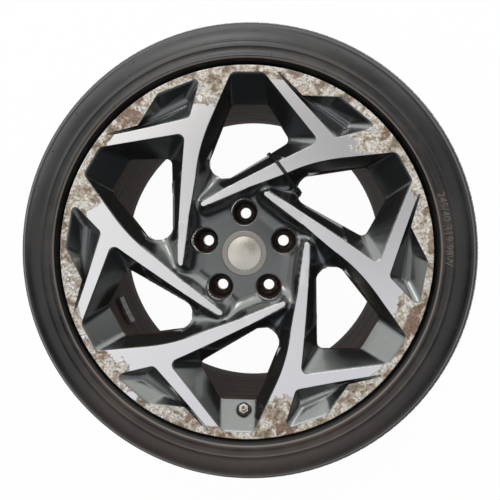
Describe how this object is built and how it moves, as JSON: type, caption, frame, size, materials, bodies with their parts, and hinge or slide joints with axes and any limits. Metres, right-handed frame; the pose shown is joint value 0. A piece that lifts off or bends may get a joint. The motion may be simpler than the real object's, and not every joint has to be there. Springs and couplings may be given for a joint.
{
  "type": "alloy car wheel with tyre",
  "caption": "Cast alloy road wheel with swept two-tone spokes, a worn low-profile tyre, centre cap, clamp-in valve with pressure sensor and stick-on weights.",
  "frame": {"origin": "centre of the hub bore on the plane of the rear mounting face", "axes": "+Z along the wheel axis towards the outer face, +Y from the axis away from the valve, +X to the right seen from the front"},
  "size_m": [0.6686, 0.6684, 0.245],
  "materials": {
    "alloy": "dark grey metallic paint with diamond-turned front faces under lacquer",
    "tyre_rubber": "worn, dusty",
    "cap_plastic": "satin silver paint",
    "chrome": "polished",
    "steel": "zinc plated",
    "seal_rubber": "matt",
    "valve_metal": "nickel plated",
    "brass": "turned",
    "sensor_plastic": "moulded",
    "foam_tape": "foam",
    "weight_steel": "grey powder coat",
    "nylon": "moulded"
  },
  "bodies": {
    "wheel": {"alloy_rim": "alloy", "tyre": "tyre_rubber", "centre_cap": "cap_plastic", "cap_dome": "chrome", "cap_spring_ring": "steel", "valve_grommet": "seal_rubber", "valve_nut": "valve_metal", "valve_stem": "valve_metal", "valve_core": "brass", "pressure_sensor": "sensor_plastic", "sensor_screw": "steel", "weight_tape": "foam_tape", "balance_weights": "weight_steel", "cable_tie": "nylon"},
    "valve_pin": {"valve_pin": "brass"}
  },
  "joints": [
    {"name": "valve_press", "type": "slide", "parent": "wheel", "child": "valve_pin", "axis": [0, -0.5, -0.866], "range_m": [0, 0.0015], "stiffness_N_per_m": 1500}
  ]
}
